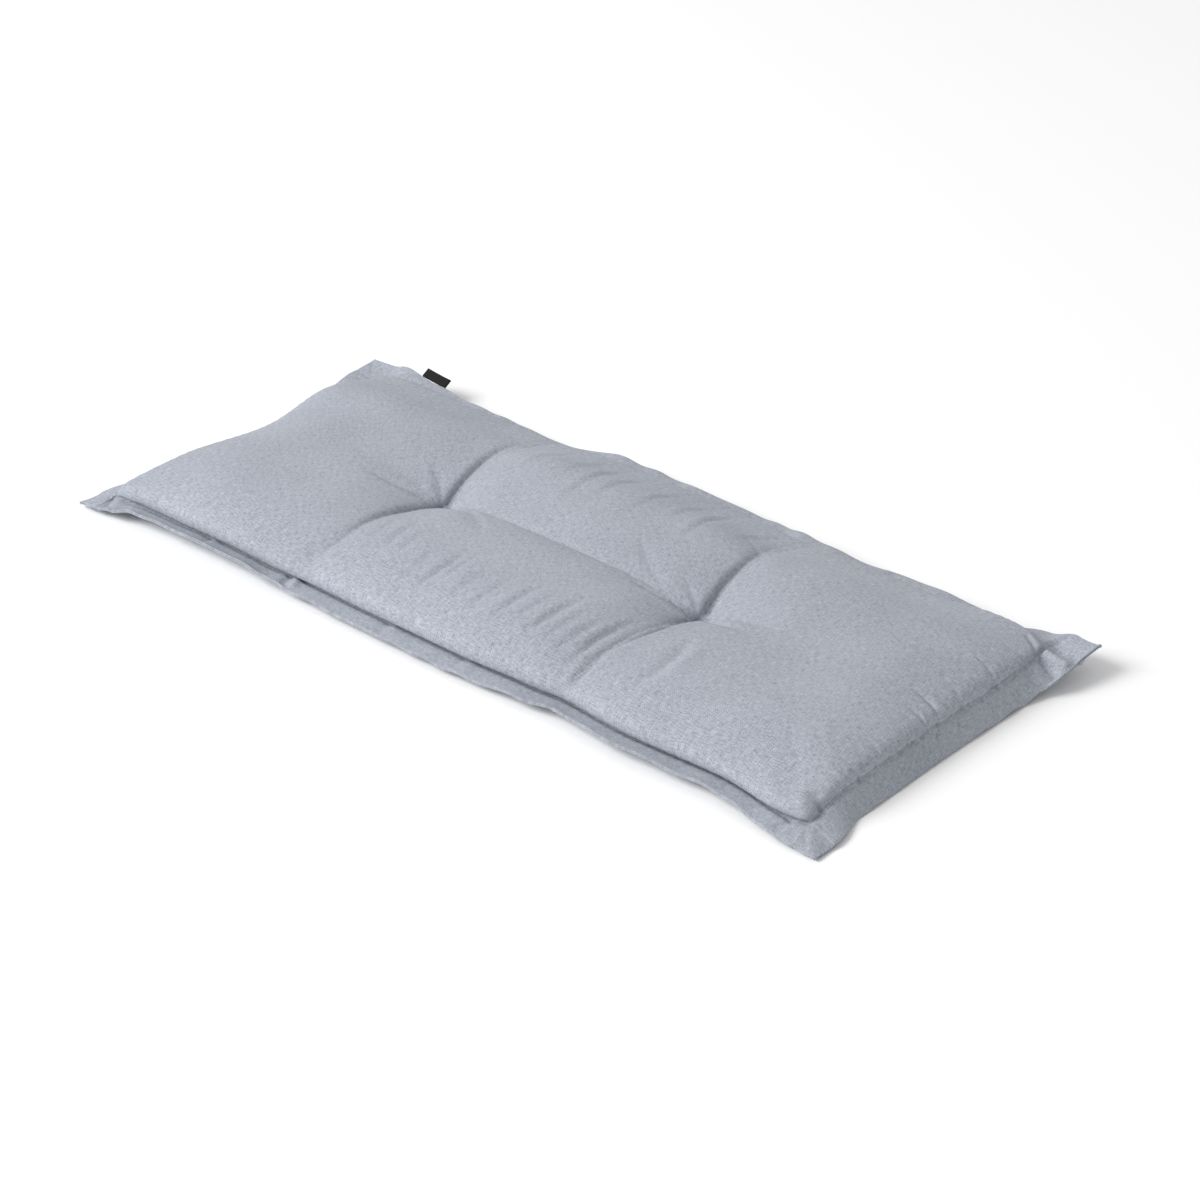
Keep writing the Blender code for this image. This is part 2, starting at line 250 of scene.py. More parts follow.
RIGHT = (
    (-0.210, 0.000, 0.014, -16, -20),
    (-0.150, 0.003, 0.026, -56, -54),
    (0.000, 0.005, 0.027, -58, -54),
    (0.120, 0.005, 0.027, -56, -50),
    (0.148, 0.005, 0.028, -50, -38),
    (0.174, 0.002, 0.028, -30, 6),
    (0.210, 0.000, 0.026, -14, 22),
)

# %% How the cloth rises from the stitching
TINY = 1e-9
PUSH_OUT = 0.5
PUSH_BACK = 1.5
PUSH_TOP = PUSH_OUT / (PUSH_OUT + PUSH_BACK)
PUSH_PEAK = 1.0 / (PUSH_TOP ** PUSH_OUT * (1.0 - PUSH_TOP) ** PUSH_BACK)


def smooth(v):
    """0 to 1 with level ends."""
    v = np.clip(v, 0.0, 1.0)
    return v * v * (3.0 - 2.0 * v)


def along(table, place, column):
    """A column of a side's table, eased between its rows."""
    places = np.array([row[PLACE] for row in table])
    values = np.array([row[column] for row in table], dtype=float)
    place = np.clip(place, places[0], places[-1])
    low = np.clip(np.searchsorted(places, place, side="right") - 1, 0, len(places) - 2)
    share = (place - places[low]) / (places[low + 1] - places[low])
    return values[low] + (values[low + 1] - values[low]) * smooth(share)


def side_rise(depth, reach, foot, tuck):
    """Share of the full height reached at a distance in from the stitched line."""
    left = 1.0 - np.clip(depth / reach, 0.0, 1.0)
    low = (1.0 - np.exp(-depth / tuck)) ** TUCK_SHARE
    return (1.0 - left ** SHOULDER) ** (1.0 / foot) * low


def corner_rise(rise_s, rise_t):
    """Both directions' rises joined over a corner, fuller than their product."""
    product = rise_s * rise_t
    return product / np.maximum(rise_s + rise_t - product, TINY)


def side_push(depth):
    """Share of the overhang at a distance in from the stitched line."""
    share = np.clip(depth / OVERHANG_REACH, 0.0, 1.0)
    return PUSH_PEAK * share ** PUSH_OUT * (1.0 - share) ** PUSH_BACK


def pick(positive, where_positive, where_negative):
    """One side's values where positive holds, the opposite side's elsewhere."""
    return [np.where(positive, a, b) for a, b in zip(where_positive, where_negative)]


# %% How valleys and creases take height away
def shoulder(distance, half):
    """1 on a valley's floor, 0 on the puff beside it, with a sharp floor."""
    share = np.clip(distance / half, 0.0, 1.0)
    return 1.0 - (1.0 - (1.0 - share) ** 2) ** VALLEY_ROUND


def valley_shift(s, t):
    """How far the cloth leans along X so that its threads follow the valleys."""
    shift = np.zeros_like(s)
    for tuft, (back, front) in zip(TUFTS, VALLEY_BENDS):
        near = np.exp(-((s - tuft) / VALLEY_LEAN) ** 2)
        bend = np.where(t > 0, back, front) * (1.0 - np.exp(-np.abs(t) / VALLEY_CURVE))
        shift = shift + near * bend
    return shift


def puff(s):
    """Crown of the end puffs beside that of the middle one, which is domed."""
    half = (TUFTS[1] - TUFTS[0]) / 2
    off = np.abs(s - (TUFTS[0] + TUFTS[1]) / 2) / half
    dome = 1.0 - MIDDLE_DOME * np.minimum(off, 1.0) ** 2
    ease = 1.0 - RIGHT_EASE * smooth((s - RIGHT_EASE_FROM) / (HALF_LONG - RIGHT_EASE_FROM))
    return ease * dome * (1.0 - (1.0 - END_CROWN) * smooth(0.5 + (off - 1.0) * half / PUFF_STEP))


def crown_left(s, t):
    """Share of the crown that the valleys and creases leave."""
    left = np.ones_like(s)
    for tuft in TUFTS:
        deep = VALLEY_ALONG + VALLEY_AT_TUFT / (1.0 + (t / VALLEY_RUN) ** 2)
        left = left * (1.0 - deep * shoulder(np.abs(s - tuft), VALLEY_HALF))
        hollow = np.exp(-((s - tuft) ** 2 + t ** 2) / DIP_WIDE ** 2)
        left = left * (1.0 - TUFT_DIP * hollow)
    middle = (s - TUFTS[0]) / (TUFTS[1] - TUFTS[0])
    between = smooth(middle / CREASE_EASE) * smooth((1 - middle) / CREASE_EASE)
    line = -CREASE_BOW * np.sin(math.pi * np.clip(middle, 0, 1))
    deep = CREASE_BETWEEN * between
    for tuft in TUFTS:
        deep = deep + CREASE_AT_TUFT * np.exp(-np.abs(s - tuft) / CREASE_FADE)
    return left * (1.0 - deep * shoulder(np.abs(t - line), CREASE_HALF))


# %% How the sides draw in and the border slopes
def drawn(place, half):
    """Share of a side's drawing-in that is felt at a place across the pad."""
    return (0.5 + place / (2 * half)) ** DRAW_FADE


def border_run(table, place, out):
    """Outward and upward travel across the border, and its slope there."""
    root = np.radians(along(table, place, ROOT))
    tip = np.radians(along(table, place, TIP))
    share = out / BORDER
    slope = root + (tip - root) * share
    middle = root + (tip - root) * share / 2
    return out * np.cos(middle), out * np.sin(middle), slope


def seam_height(s, t):
    """Height of the stitched line, carried in over the whole pad."""
    total = np.zeros_like(s)
    weight = np.zeros_like(s)
    for table, place, inward in (
        (FRONT, s, t + HALF_CROSS),
        (BACK, s, HALF_CROSS - t),
        (LEFT, t, s + HALF_LONG),
        (RIGHT, t, HALF_LONG - s),
    ):
        near = 1.0 / (inward + SIDE_HOLD) ** 2
        total = total + near * along(table, place, HEIGHT)
        weight = weight + near
    return total / weight


def filled(s, out_s, t, out_t, thick, upper):
    """Where a place on the flat top or bottom panel lies on the finished cushion."""
    face = 1.0 if upper else -1.0
    end = np.where(s > 0, 1.0, -1.0)
    side = np.where(t > 0, 1.0, -1.0)
    in_s = HALF_LONG - np.abs(s)
    in_t = HALF_CROSS - np.abs(t)

    x = s + valley_shift(s, t)
    x = x + along(LEFT, t, INWARD) * drawn(-s, HALF_LONG)
    x = x - along(RIGHT, t, INWARD) * drawn(s, HALF_LONG)
    y = t + along(FRONT, s, INWARD) * drawn(-t, HALF_CROSS)
    y = y - along(BACK, s, INWARD) * drawn(t, HALF_CROSS)
    near = np.exp(-(in_s ** 2 + in_t ** 2) / CORNER_REACH ** 2)
    left_inset, right_inset = (np.where(t > 0, pair[1], pair[0]) for pair in CORNER_INSETS)
    inset = np.where(s > 0, right_inset, left_inset)
    inset = inset * near * (1.0 - np.clip(np.maximum(out_s, out_t) / BORDER, 0, 1))
    x = x - end * inset
    y = y - side * inset
    z = seam_height(s, t)

    run_s = pick(s > 0, border_run(RIGHT, t, out_s), border_run(LEFT, t, out_s))
    run_t = pick(t > 0, border_run(BACK, s, out_t), border_run(FRONT, s, out_t))
    half = BORDER_THICK / 2 * face * thick
    slope_s = np.where(out_s > 0, run_s[2], 0.0)
    slope_t = np.where(out_t > 0, run_t[2], 0.0)
    x = x + end * (run_s[0] - half * np.sin(slope_s))
    y = y + side * (run_t[0] - half * np.sin(slope_t))
    mix = np.minimum(out_s, out_t) / np.maximum(np.maximum(out_s, out_t), TINY)
    shared = 1.0 - (1.0 - CORNER_SHARE) * smooth(mix)
    z = z + (run_s[1] + run_t[1]) * shared + half * np.cos(slope_s) * np.cos(slope_t)

    if upper:
        end_reach, end_foot, end_push, end_tuck = pick(s > 0, RISE_RIGHT, RISE_LEFT)
        long_reach, long_foot, long_push, long_tuck = pick(t > 0, RISE_BACK, RISE_FRONT)
        end_rise = side_rise(in_s, end_reach, end_foot, end_tuck)
        long_rise = side_rise(in_t, long_reach, long_foot, long_tuck)
        wall = (1.0 - np.exp(-in_t / BACK_FOOT)) ** TUCK_SHARE
        behind = BACK_WALL * wall + (1.0 - BACK_WALL) * smooth(in_t / BACK_SLOPE)
        long_rise = np.where(t > 0, behind, long_rise)
        low = 1.0 - ROLL_LOW * np.where(t < 0, np.exp(-(in_t / ROLL_REACH) ** 2), 0.0)
        x = x + end * end_push * side_push(in_s) * long_rise
        y = y + side * long_push * side_push(in_t) * end_rise
        z = z + CROWN * puff(s) * corner_rise(end_rise, long_rise) * crown_left(s, t) * low
        for tuft in TUFTS:
            z = z - TUFT_PULL * np.exp(-np.hypot(s - tuft, t) / TUFT_WIDE)
    else:
        end_fall = side_rise(in_s, UNDER_REACH, UNDER_FOOT, UNDER_TUCK)
        long_fall = side_rise(in_t, UNDER_REACH, UNDER_FOOT, UNDER_TUCK)
        x = x + end * UNDER_OVERHANG * side_push(in_s) * long_fall
        y = y + side * UNDER_OVERHANG * side_push(in_t) * end_fall
        z = z * (1.0 - corner_rise(end_fall, long_fall))
        for tuft in TUFTS:
            z = z + UNDER_PULL * smooth(1.0 - np.hypot(s - tuft, t) / (2 * UNDER_WIDE))
    return np.stack([x, y, z], axis=1)


# %% [markdown]
# ## Cutting the two panels
#
# Each panel starts as a flat grid.  Its rows are close together where the cloth turns
# sharply, at the folded edge, at the stitched line and round the tufts, and wide apart
# on the puffs.  The last rows roll over the folded edge and meet the other panel in the
# seam, so the border's edge shows as two soft rolls with a fine groove between them.

# %% Rows of the grid
EDGE_ROLL = (                           # distance out past the border's width, share of its thickness
    (-0.0006, 0.00),
    (0.0003, 0.22),
    (0.0006, 0.60),
    (0.0002, 0.92),
)
BORDER_ROWS = 9
SIDE_ROWS = 12
SIDE_ZONE = 0.050
LONG_ROWS = 176
CROSS_ROWS = 92
ROW_CROWDING = 0.55
ROW_GATHER = 0.050


def rows(half, count, gather):
    """Places, border distances and thickness shares of the rows across one direction."""
    zone = [SIDE_ZONE * (i / SIDE_ROWS) ** 2.0 for i in range(SIDE_ROWS)]
    inner = np.linspace(-1, 1, count + 1) * (half - SIDE_ZONE)
    for centre in gather:
        away = inner - centre
        inner = inner - ROW_CROWDING * away * np.exp(-(away / ROW_GATHER) ** 2)
        inner[np.argmin(np.abs(inner - centre))] = centre
    edge = [(BORDER + past, thick) for past, thick in EDGE_ROLL]
    edge += [(BORDER * (1 - (i + 0.4) / BORDER_ROWS) ** 1.15, 1.0) for i in range(BORDER_ROWS)]
    places = [-half] * len(edge) + [d - half for d in zone] + list(inner)
    places = places + [half - d for d in reversed(zone)] + [half] * len(edge)
    level = [(0.0, 1.0)] * (len(places) - 2 * len(edge))
    table = np.array(edge + level + edge[::-1])
    return np.array(places), table[:, 0], table[:, 1]


long_rows = rows(HALF_LONG, LONG_ROWS, TUFTS)
cross_rows = rows(HALF_CROSS, CROSS_ROWS, (0.0,))
print("grid rows:", len(long_rows[0]), "by", len(cross_rows[0]))


# %% Cut a panel and shape it
def cut_panel(name, upper):
    """A grid of cloth, moved to where it lies on the filled cushion."""
    bpy.ops.object.select_all(action="DESELECT")
    bpy.ops.mesh.primitive_grid_add(
        x_subdivisions=len(long_rows[0]) - 1,
        y_subdivisions=len(cross_rows[0]) - 1,
        size=2,
    )
    cloth = bpy.context.object
    cloth.name = name
    flat = points_of(cloth)
    i = np.rint((flat[:, 0] + 1) / 2 * (len(long_rows[0]) - 1)).astype(int)
    j = np.rint((flat[:, 1] + 1) / 2 * (len(cross_rows[0]) - 1)).astype(int)
    s, out_s, thick_s = (column[i] for column in long_rows)
    t, out_t, thick_t = (column[j] for column in cross_rows)
    move_points(cloth, filled(s, out_s, t, out_t, np.minimum(thick_s, thick_t), upper))
    for mark, values in (("s", s), ("t", t), ("out_s", out_s), ("out_t", out_t)):
        mark_points(cloth, mark, values)
    mark_points(cloth, "face", np.full(len(s), 1.0 if upper else -1.0))
    if not upper:
        bpy.ops.object.mode_set(mode="EDIT")
        bpy.ops.mesh.select_all(action="SELECT")
        bpy.ops.mesh.flip_normals()
        bpy.ops.object.mode_set(mode="OBJECT")
    print(name, "has", len(cloth.data.vertices), "points")
    return cloth


top = cut_panel("cushion_cover", True)
bottom = cut_panel("bottom_panel", False)

# %% [markdown]
# ## Filling the pad
#
# The fibre presses the top panel outwards while the stitching and the tufts hold it, and
# the cloth is a little longer than the shape it spans, so it buckles where it is pulled
# short.  Blender's Cloth does this well: pressure from below, no gravity, and the held
# places pinned.  A second shape of the same panel, stretched along the pad, is the cloth's
# own cut size.  No point may travel more than a few millimetres, which keeps the pad in
# the solid's space.

# %% Press the filling against the top panel
PRESSURE = 4
FILL_FRAMES = 20
MOST_TRAVEL = 0.0035
SPARE_CLOTH = 0.045                     # of its length between the tufts
SPARE_AT_ENDS = 0.25                    # share of that beyond them
SPARE_REACH = 0.190
SPARE_ACROSS = 0.006                    # of its width
SEAM_HOLD = (0.004, 0.012)              # held to here beside the stitching, free this much on
TUFT_HOLD = (0.008, 0.020)              # and the same round a tuft


def fill_pad(cloth):
    """Let the filling push the cloth out, held by its stitching and tufts."""
    start = points_of(cloth)
    s, t = marks_of(cloth, "s"), marks_of(cloth, "t")
    inward = np.minimum(HALF_LONG - np.abs(s), HALF_CROSS - np.abs(t))
    held = 1 - np.clip((inward - SEAM_HOLD[0]) / SEAM_HOLD[1], 0, 1)
    for tuft in TUFTS:
        away = np.hypot(s - tuft, t)
        held = np.maximum(held, 1 - np.clip((away - TUFT_HOLD[0]) / TUFT_HOLD[1], 0, 1))
    pins = cloth.vertex_groups.new(name="held")
    for index in np.nonzero(held > 0.01)[0]:
        pins.add([int(index)], float(held[index]), "REPLACE")
    cloth.shape_key_add(name="filled")
    cut = cloth.shape_key_add(name="cut")
    line = np.linspace(-HALF_LONG, HALF_LONG, 2001)
    spare = SPARE_CLOTH * (SPARE_AT_ENDS + (1 - SPARE_AT_ENDS) * np.exp(-(line / SPARE_REACH) ** 4))
    extra = np.concatenate([[0], np.cumsum((spare[1:] + spare[:-1]) / 2 * np.diff(line))])
    longer = start.copy()
    longer[:, 0] += np.interp(s, line, extra) - np.interp(0, line, extra)
    longer[:, 1] *= 1 + SPARE_ACROSS
    cut.data.foreach_set("co", longer.ravel())
    modifier = cloth.modifiers.new("filling", "CLOTH")
    settings = modifier.settings
    settings.quality = 6
    settings.mass = 0.01
    settings.tension_stiffness = 15
    settings.compression_stiffness = 15
    settings.shear_stiffness = 4
    settings.bending_stiffness = 0.2
    settings.air_damping = 1
    settings.use_pressure = True
    settings.uniform_pressure_force = PRESSURE
    settings.effector_weights.gravity = 0
    settings.vertex_group_mass = "held"
    settings.rest_shape_key = cut
    for step in range(1, FILL_FRAMES + 1):
        bpy.context.scene.frame_set(step)
    seen = cloth.evaluated_get(bpy.context.evaluated_depsgraph_get())
    pressed = np.empty(start.size)
    seen.data.vertices.foreach_get("co", pressed)
    travel = pressed.reshape(-1, 3) - start
    cloth.modifiers.remove(modifier)
    bpy.context.scene.frame_set(1)
    cloth.shape_key_clear()
    far = np.linalg.norm(travel, axis=1)
    capped = MOST_TRAVEL * np.tanh(far / MOST_TRAVEL)
    move_points(cloth, start + travel * (capped / np.maximum(far, TINY))[:, None])
    print("the filling moved the cloth", round(capped.mean() * 1000, 1), "mm on average")


fill_pad(top)

# %% [markdown]
# ## Sewing the panels together
#
# The panels are joined into one closed cover by merging the points that meet in the edge
# seam.  One level of subdivision then makes the cloth fine enough for its folds.  The
# marks on the points ride along, so each fold can still be placed by its distance along
# and across the cloth.

# %% Join, close and refine the cover
SEAM_MERGE = 0.00002

bpy.ops.object.select_all(action="DESELECT")
bottom.select_set(True)
top.select_set(True)
bpy.context.view_layer.objects.active = top
bpy.ops.object.join()
cover = bpy.context.object
bpy.ops.object.mode_set(mode="EDIT")
bpy.ops.mesh.select_all(action="SELECT")
bpy.ops.mesh.remove_doubles(threshold=SEAM_MERGE)
bpy.ops.object.mode_set(mode="OBJECT")
finer = cover.modifiers.new("finer", "SUBSURF")
finer.levels = 1
finer.render_levels = 1
take(cover)
bpy.ops.object.modifier_apply(modifier="finer")
solid_low, solid_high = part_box("cushion")
spots = points_of(cover)
middle = (spots.min(axis=0) + spots.max(axis=0)) / 2
wanted = (np.array(solid_low) + np.array(solid_high)) / 2
spots[:, :2] += (wanted - middle)[:2]
spots[:, 2] -= spots[:, 2].min()
move_points(cover, spots)
print("cover has", len(cover.data.vertices), "points, box", spots.min(axis=0), spots.max(axis=0))

# %% [markdown]
# ## Folds, wrinkles and the sewn line
#
# The finer folds are laid on one by one.  Each is one row of a short table: where it
# starts and ends on the flat cloth, how far it bows sideways, how wide and deep it is, how
# high the cloth beside it stands, and how slowly its two ends come in.
# Places beyond the stitched line are on the border, where both panels move together.

# %% One fold
S0, T0, S1, T1, BOW, WIDE, DEEP, LIP, EASE_IN, EASE_OUT = range(10)
FOLD_POINT = 1.4                        # 1 gives a sharp floor, 2 a round one


def fold_depth(s, t, fold):
    """Height that one fold adds to the cloth along its outward direction."""
    run = np.array([fold[S1] - fold[S0], fold[T1] - fold[T0]])
    length = np.hypot(*run)
    away_s, away_t = s - fold[S0], t - fold[T0]
    share = (away_s * run[0] + away_t * run[1]) / length ** 2
    off = (-away_s * run[1] + away_t * run[0]) / length - fold[BOW] * 4 * share * (1 - share)
    ends = smooth(share / fold[EASE_IN]) * smooth((1 - share) / fold[EASE_OUT])
    floor = np.exp(-np.abs(off / fold[WIDE]) ** FOLD_POINT)
    lip = np.exp(-((off - 2.0 * fold[WIDE]) / (1.3 * fold[WIDE])) ** 2)
    return ends * (fold[LIP] * lip - fold[DEEP] * floor)


# %% The folds at the two tufts
TUFT_FOLDS = (
    (-0.194, 0.000, -0.306, -0.030, 0.003, 0.006, 0.0105, 0.0014, 0.01, 0.85),
    (-0.194, 0.000, -0.258, 0.054, 0.000, 0.006, 0.0024, 0.0010, 0.01, 0.90),
    (-0.194, 0.000, -0.203, 0.185, 0.003, 0.0045, 0.0060, 0.0004, 0.01, 0.80),
    (-0.194, 0.000, -0.188, -0.200, -0.009, 0.0045, 0.0065, 0.0008, 0.01, 0.80),
    (-0.194, 0.000, -0.110, -0.022, -0.003, 0.005, 0.0050, 0.0010, 0.01, 0.90),
    (-0.194, 0.000, -0.165, 0.050, 0.002, 0.004, 0.0014, 0.0006, 0.01, 0.90),
    (0.200, 0.000, 0.100, -0.016, 0.002, 0.006, 0.0105, 0.0014, 0.01, 0.85),
    (0.200, 0.000, 0.142, 0.036, 0.000, 0.005, 0.0020, 0.0008, 0.01, 0.90),
    (0.200, 0.000, 0.190, 0.185, 0.000, 0.0045, 0.0060, 0.0004, 0.01, 0.80),
    (0.200, 0.000, 0.188, -0.198, 0.012, 0.0045, 0.0068, 0.0008, 0.01, 0.80),
    (0.200, 0.000, 0.310, -0.026, -0.004, 0.005, 0.0046, 0.0010, 0.01, 0.90),
    (0.250, -0.060, 0.262, -0.192, 0.011, 0.007, 0.0038, 0.0016, 0.35, 0.40),
)

# %% The wrinkles of the middle puff
MIDDLE_WRINKLES = (
    (-0.160, -0.150, -0.172, -0.070, 0.002, 0.004, 0.0011, 0.0005, 0.4, 0.5),
    (-0.130, -0.160, -0.144, -0.072, 0.003, 0.0045, 0.0018, 0.0006, 0.4, 0.5),
    (-0.111, -0.164, -0.117, -0.076, 0.002, 0.004, 0.0012, 0.0006, 0.4, 0.5),
    (-0.078, -0.172, -0.076, -0.110, 0.002, 0.004, 0.0011, 0.0005, 0.4, 0.5),
    (-0.050, -0.184, -0.043, -0.094, 0.003, 0.005, 0.0032, 0.0011, 0.4, 0.5),
    (-0.036, -0.168, -0.032, -0.090, 0.003, 0.004, 0.0018, 0.0006, 0.4, 0.5),
    (-0.008, -0.180, -0.002, -0.110, 0.002, 0.005, 0.0018, 0.0007, 0.4, 0.5),
    (0.024, -0.184, 0.032, -0.104, 0.003, 0.004, 0.0014, 0.0006, 0.4, 0.5),
    (0.057, -0.186, 0.069, -0.094, 0.003, 0.005, 0.0028, 0.0010, 0.4, 0.5),
    (0.084, -0.178, 0.092, -0.104, 0.003, 0.004, 0.0015, 0.0006, 0.4, 0.5),
    (0.110, -0.188, 0.124, -0.080, 0.003, 0.005, 0.0036, 0.0012, 0.4, 0.5),
    (0.136, -0.178, 0.146, -0.096, 0.003, 0.004, 0.0018, 0.0007, 0.4, 0.5),
    (0.160, -0.190, 0.170, -0.090, 0.003, 0.0045, 0.0020, 0.0008, 0.4, 0.5),
    (0.182, -0.194, 0.192, -0.050, 0.003, 0.005, 0.0038, 0.0012, 0.3, 0.6),
    (0.207, -0.204, 0.203, -0.140, 0.002, 0.005, 0.0035, 0.0011, 0.3, 0.5),
    (-0.142, 0.080, -0.140, 0.190, 0.002, 0.005, 0.0010, 0.0007, 0.4, 0.4),
    (-0.090, 0.090, -0.098, 0.195, 0.002, 0.005, 0.0008, 0.0006, 0.4, 0.4),
    (-0.047, 0.030, -0.070, 0.200, 0.002, 0.005, 0.0013, 0.0010, 0.4, 0.4),
    (-0.022, 0.060, -0.036, 0.200, 0.002, 0.005, 0.0010, 0.0008, 0.4, 0.4),
    (0.030, 0.070, 0.020, 0.198, 0.003, 0.005, 0.0010, 0.0007, 0.4, 0.4),
    (0.078, 0.080, 0.068, 0.198, 0.003, 0.005, 0.0009, 0.0006, 0.4, 0.4),
    (0.117, 0.060, 0.100, 0.200, 0.002, 0.005, 0.0014, 0.0010, 0.4, 0.4),
    (0.156, 0.110, 0.178, 0.190, 0.002, 0.005, 0.0009, 0.0006, 0.4, 0.4),
)

# %% The folds at the right end and its corners
END_FOLDS = (
    (0.482, 0.104, 0.522, 0.094, 0.004, 0.0026, 0.0024, 0.0000, 0.5, 0.05),
    (0.474, 0.006, 0.522, 0.000, 0.004, 0.0027, 0.0026, 0.0000, 0.5, 0.05),
    (0.486, 0.048, 0.522, 0.036, 0.003, 0.0028, 0.0013, 0.0000, 0.5, 0.05),
    (0.486, -0.020, 0.522, -0.022, 0.003, 0.0028, 0.0014, 0.0000, 0.5, 0.05),
    (0.492, -0.092, 0.522, -0.098, 0.003, 0.0030, 0.0011, 0.0000, 0.5, 0.05),
    (0.486, -0.172, 0.520, -0.208, -0.002, 0.0050, -0.0030, 0.0000, 0.5, 0.20),
    (0.504, -0.180, 0.522, -0.192, 0.000, 0.0030, 0.0044, 0.0000, 0.3, 0.05),
    (0.484, 0.196, 0.520, 0.184, 0.002, 0.0040, 0.0026, 0.0008, 0.5, 0.10),
)

# %% The folds of the border
BORDER_FOLDS = (
    (0.519, 0.032, 0.546, 0.024, 0.000, 0.0050, 0.0026, 0.0012, 0.10, 0.6),
    (0.519, -0.004, 0.544, -0.012, 0.000, 0.0050, 0.0028, 0.0012, 0.10, 0.6),
    (0.519, -0.098, 0.538, -0.104, 0.000, 0.0050, 0.0018, 0.0008, 0.10, 0.6),
    (0.514, 0.196, 0.553, 0.160, 0.000, 0.0055, 0.0060, 0.0000, 0.10, 0.05),
    (0.508, 0.206, 0.556, 0.184, 0.000, 0.0060, -0.0080, 0.0000, 0.10, 0.02),
    (0.506, 0.226, 0.560, 0.206, 0.000, 0.0085, 0.0080, 0.0000, 0.10, 0.02),
    (0.500, -0.209, 0.492, -0.240, 0.000, 0.0050, 0.0030, 0.0012, 0.10, 0.3),
    (0.046, -0.209, 0.050, -0.238, 0.000, 0.0060, 0.0018, 0.0010, 0.10, 0.3),
    (-0.069, -0.209, -0.066, -0.238, 0.000, 0.0060, 0.0018, 0.0010, 0.10, 0.3),
    (-0.224, -0.209, -0.210, -0.241, 0.000, 0.0050, 0.0036, 0.0026, 0.10, 0.2),
    (-0.360, -0.209, -0.352, -0.238, 0.000, 0.0060, 0.0018, 0.0012, 0.10, 0.3),
    (-0.520, -0.212, -0.508, -0.240, 0.000, 0.0050, 0.0030, 0.0012, 0.10, 0.3),
    (-0.519, -0.100, -0.548, -0.092, 0.000, 0.0060, 0.0020, 0.0012, 0.10, 0.3),
    (-0.519, 0.060, -0.548, 0.070, 0.000, 0.0060, 0.0020, 0.0012, 0.10, 0.3),
    (-0.300, 0.209, -0.294, 0.238, 0.000, 0.0060, 0.0016, 0.0010, 0.10, 0.3),
    (-0.020, 0.209, -0.028, 0.238, 0.000, 0.0060, 0.0018, 0.0010, 0.10, 0.3),
    (0.290, 0.209, 0.300, 0.238, 0.000, 0.0060, 0.0018, 0.0010, 0.10, 0.3),
)

# %% The gap below the front, and the sewn line
FRONT_GAP = (                           # place along the front, how far the border sinks below the pad
    (-0.520, 0.0010),
    (-0.470, 0.0030),
    (-0.430, 0.0050),
    (-0.370, 0.0035),
    (-0.245, 0.0040),
    (-0.200, 0.0050),
    (-0.100, 0.0045),
    (-0.030, 0.0030),
    (0.060, 0.0030),
    (0.150, 0.0045),
    (0.200, 0.0080),
    (0.245, 0.0080),
    (0.275, 0.0045),
    (0.400, 0.0035),
    (0.490, 0.0040),
    (0.518, 0.0010),
)
GAP_DEPTH = 1                           # the table's column with the depth
GAP_OUT = 0.0035                        # the lowest line of the gap, outside the stitches
GAP_WIDE = 0.0042
SEAM_DEEP = 0.0015
SEAM_WIDE = 0.0024
PUCKER_HIGH = 0.0008
PUCKER_REACH = 0.016
PUCKER_PITCH = 0.0125
EDGE_WAVE = 0.0012                      # slow waves of the border's free edge
EDGE_WAVE_PITCH = 0.060
EDGE_KEEP = 0.004                       # the folded edge itself isn't creased


def uneven(place, pitch, seed):
    """A wave along a seam whose spacing and height wander."""
    turn = 2 * math.pi * place / pitch
    drift = 1.1 * np.sin(turn / 3.7 + seed) + 0.8 * np.sin(turn / 8.3 + 2.1 * seed)
    height = 0.65 + 0.35 * np.sin(turn / 5.1 + 1.7 * seed)
    return height * np.sin(turn + drift + seed)


def beside_seam(s, t, out_s, out_t):
    """Distance from the stitched line, place along it and a number for the side."""
    in_s, in_t = HALF_LONG - np.abs(s), HALF_CROSS - np.abs(t)
    out = np.hypot(out_s, out_t)
    nearest_end = np.where(out > 0, out_s > out_t, in_s < in_t)
    off = np.where(out > 0, out, np.minimum(in_s, in_t))
    side = np.where(nearest_end, 1.3 + np.sign(s), 0.4 + np.sign(t))
    return off, np.where(nearest_end, t, s), side


